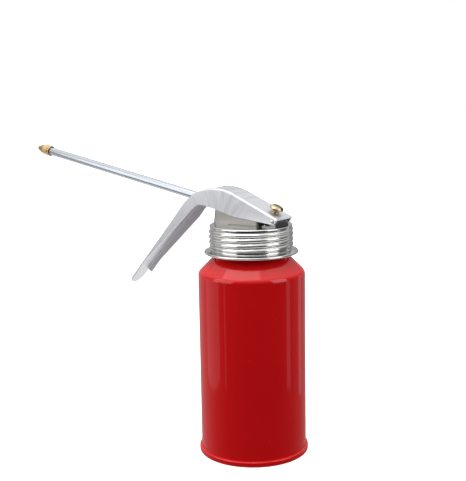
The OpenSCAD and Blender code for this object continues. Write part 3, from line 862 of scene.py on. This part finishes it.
# ---------------------------------------------------------------- hinge
def hinge_solid():
    """Foot plate and knuckle of the hinge, drawn from the side and carried across the head."""
    half_w, knuckle_r = 6.2, 1.4
    top = PLATE_TOP
    plan = fillet([(11.0, -half_w, 1.4), (HINGE.x + 0.6, -half_w, 0.3), (HINGE.x + 0.6, half_w, 0.3),
                   (11.0, half_w, 1.4)], 6)
    foot = raw("hinge_foot", loft([[(p.x, p.y, z) for p in plan] for z in (CAP_TOP, top - 0.12, top)]))
    rise = fillet([(HINGE.x + 1.3, CAP_TOP, 0), (HINGE.x + knuckle_r - 0.1, HINGE.y - 0.5, 0),
                   (HINGE.x - knuckle_r + 0.1, HINGE.y - 0.5, 0), (HINGE.x - 1.9, top - 0.1, 1.2),
                   (HINGE.x - 3.4, top - 0.1, 0), (HINGE.x - 3.4, CAP_TOP, 0)], 6)
    web = raw("hinge_rise", loft([[(p.x, y, p.y) for p in rise] for y in (-half_w, half_w)]))
    knuckle = raw("hinge_knuckle", revolve(fillet([(0, -half_w, 0), (knuckle_r, -half_w, 0.25),
                                                   (knuckle_r, half_w, 0.25), (0, half_w, 0)], 5, False),
                                            64), on_pin)
    combine(foot, [web, knuckle], "UNION")
    pin = raw("pin_bore", revolve([(0, -9), (0.9, -9), (0.9, 9), (0, 9)], 48), on_pin)
    gaps = [raw(f"knuckle_gap_{side}",
                block((HINGE.x - 3, y - 0.15, HINGE.y - 1.6), (HINGE.x + 3, y + 0.15, HINGE.y + 3)))
            for side, y in (("near", -2.3), ("far", 2.3))]
    return combine(foot, [pin] + gaps, "DIFFERENCE")


piece(hinge_solid(), "head", ["hinge_bracket"], HINGE_SHADE_STEEL, 30)
pin_path = fillet([(0, -PIN_HIGH.y, 0), (0.9, -PIN_HIGH.y, 0.2), (0.9, 7.9, 0), (1.3, 7.9, 0.05),
                   (1.25, -PIN_LOW.y - 0.05, 0.2), (0, -PIN_LOW.y, 0)], 5, False)
piece(raw("hinge_pin_turned", revolve(pin_path, 64), on_pin), "head", ["hinge_pin"],
      PIN_STEEL)
clip_path = fillet([(0.9, -8.6, 0), (1.8, -8.6, 0.12), (1.8, -8.0, 0.12), (0.9, -8.0, 0)], 4)
piece(raw("pin_ring", revolve(clip_path, 64), on_pin), "head", ["pin_clip"], PIN_STEEL)

stud_path = fillet([(0, -0.8, 0), (1.0, -0.8, 0), (1.0, 0, 0), (1.7, 0, 0.1), (1.65, 0.35, 0.3),
                    (1.0, 0.6, 0.5), (0, 0.62, 0)], 5, False)
stud = raw("stud", revolve(stud_path, 40))
rivets = stud_tree(stud).grow("hinge_rivets", HINGE_SHADE_STEEL, {"Spread": 7.2 * MM},
                              Matrix.Translation(Vector((13, 0, PLATE_TOP)) * MM))
bpy.data.objects.remove(stud)
piece(rivets, "head", ["bracket_rivets"], PIN_STEEL)


# ---------------------------------------------------------------- pump inside
button = fillet([(0, 132, 0), (2, 132, 0.2), (2, 134.9, 0.2), (3.9, 135.1, 0.3), (4.5, 135.6, 0.4),
                 (4.5, 138.6, 1.0), (4.2, 140.3, 2.0), (2.6, 142.5, 3.0), (0, BUTTON_TOP, 0)], 8, False)
piece(raw("push_dome", revolve(button, 96)), "plunger", ["push_button"], PLAIN)


def spring(name, node, body, turns, wire):
    """A wound spring that fills the box of the CAD node it stands for."""
    low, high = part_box(node)
    radius = (high.x - low.x) / 2 - wire * MM
    height = high.z - low.z - 2 * wire * MM
    middle = Vector(((low.x + high.x) / 2, (low.y + high.y) / 2, low.z + wire * MM))
    sizes = {"Radius": radius, "Wire": wire * MM, "Height": height, "Turns": turns}
    made = coil_tree().grow(name, WIRE, sizes, Matrix.Translation(middle))
    piece(made, body, [node], WIRE, 60)
    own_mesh(made)


spring("return_coil", "return_spring", "head", 4, 0.45)
spring("outlet_coil", "outlet_spring", "head", 5, 0.25)

for node, finish in {
    "cap_gasket": RUBBER, "piston_seal": RUBBER, "clamp_washer": PLAIN, "head_nut": BRASS, "port_plug": BRASS,
    "piston": PLAIN, "inlet_body": BRASS, "inlet_ball": PLAIN, "ball_stop": PLAIN, "suction_tube": PLAIN,
    "suction_strainer": BRASS, "outlet_ball": PLAIN, "outlet_plug": BRASS,
}.items():
    mesh = frame["nodes"][node].data
    mesh.materials.clear()
    mesh.materials.append(finish)


# ---------------------------------------------------------------- stage, light and camera
VIEW_TURN = math.radians(36.5)
VIEW_DROP = math.radians(9.942)
VIEW_PAN = math.radians(1.0874)
VIEW_ROLL = math.radians(-1.0)
VIEW_AWAY, VIEW_UP = 0.53446, 0.2151
TARGET = Vector((0, 0, 0.085))


def floor():
    far, z = 4000, -0.02
    plane = raw("floor", ([(-far, -far, z), (far, -far, z), (far, far, z), (-far, far, z)], [[0, 1, 2, 3]]))
    f = Finish("pale_floor", {"Emission Strength": 0.85, "Roughness": 0.9})
    tone = f.noise(f.place(), 6, 2)
    f.give({"Base Color": f.blend(tone, colour(0.90, 0.90, 0.90), colour(0.93, 0.93, 0.93)),
            "Emission Color": f.blend(tone, colour(0.97, 0.97, 0.97), colour(1, 1, 1))})
    plane.data.materials.append(f.owner)
    plane.visible_glossy = plane.visible_diffuse = plane.visible_shadow = False


def softbox(name, turn, rise, away, width, height, radiance):
    """An area light that faces the can. turn is counted from the view's own direction, to the right."""
    spin = VIEW_TURN + math.radians(turn)
    lift = math.radians(rise)
    out = Vector((math.sin(spin) * math.cos(lift), -math.cos(spin) * math.cos(lift), math.sin(lift)))
    lamp = bpy.data.lights.new(name, "AREA")
    lamp.shape, lamp.size, lamp.size_y = "RECTANGLE", width, height
    lamp.energy = radiance * math.pi * width * height
    obj = bpy.data.objects.new(name, lamp)
    obj.location = TARGET + out * away
    obj.rotation_euler = (-out).to_track_quat("-Z", "Y").to_euler()
    obj.visible_camera = False
    bpy.context.scene.collection.objects.link(obj)


def world():
    """White to the eye; as light, a dim studio, darkest in front, with a pale sky and table."""
    made = bpy.data.worlds.new("studio")
    bpy.context.scene.world = made
    f = Finish("studio", owner=made)
    way = f.node("ShaderNodeTexCoord", out="Generated")
    x, y, z = f.parts(way)
    towards = x * math.sin(VIEW_TURN) - y * math.cos(VIEW_TURN)
    level = f.ramp(towards * 0.5 + 0.5, (0.0, 0.42), (0.35, 0.24), (0.5, 0.14), (0.75, 0.04), (1.0, 0.02))
    sky = f.ramp(z * 0.5 + 0.5, (0.62, 0.0), (0.78, 0.36), (0.95, 1.0))
    table = f.ramp(z * 0.5 + 0.5, (0.0, 0.9), (0.2, 0.8), (0.29, 0.0))
    side = x * math.cos(VIEW_TURN) + y * math.sin(VIEW_TURN)
    seen = f.node("ShaderNodeLightPath", out="Is Camera Ray")
    soft = f.node("ShaderNodeLightPath", out="Is Diffuse Ray")
    tone = f.blend(seen, level * (1.1 - side * 0.35) + sky * 1.4 + table * (1 - soft * 0.8), colour(1, 1, 1))
    glow = f.tree.nodes.new("ShaderNodeBackground")
    end = f.tree.nodes.new("ShaderNodeOutputWorld")
    f.plug(glow.inputs["Color"], tone)
    f.tree.links.new(glow.outputs[0], end.inputs["Surface"])


def camera():
    lens = bpy.data.cameras.new("view")
    lens.lens, lens.sensor_width = 72.75, 36.0
    lens.clip_start, lens.clip_end = 0.01, 50
    obj = bpy.data.objects.new("view", lens)
    obj.rotation_mode = "QUATERNION"
    obj.location = (VIEW_AWAY * math.sin(VIEW_TURN), -VIEW_AWAY * math.cos(VIEW_TURN), VIEW_UP)
    turn = (Matrix.Rotation(VIEW_TURN + VIEW_PAN, 3, "Z") @ Matrix.Rotation(math.pi / 2 - VIEW_DROP, 3, "X")
            @ Matrix.Rotation(VIEW_ROLL, 3, "Z"))
    obj.rotation_quaternion = turn.to_quaternion()
    bpy.context.scene.collection.objects.link(obj)
    bpy.context.scene.camera = obj


floor()
world()
camera()
softbox("left_key", -65, 20, 0.75, 0.64, 0.56, 1.75)
softbox("right_key", 62, 20, 0.75, 0.46, 0.56, 2.2)
softbox("overhead", -60, 72, 0.85, 0.70, 0.70, 1.4)
softbox("left_low", -94, -7, 0.90, 0.62, 0.44, 0.42)
softbox("left_streak", -60, -8, 0.90, 0.05, 0.40, 0.35)
softbox("right_low", 82, -10, 0.90, 0.16, 0.34, 0.42)
softbox("right_edge", 122, -6, 0.90, 0.20, 0.50, 0.40)
bpy.context.scene.view_settings.view_transform = "Standard"
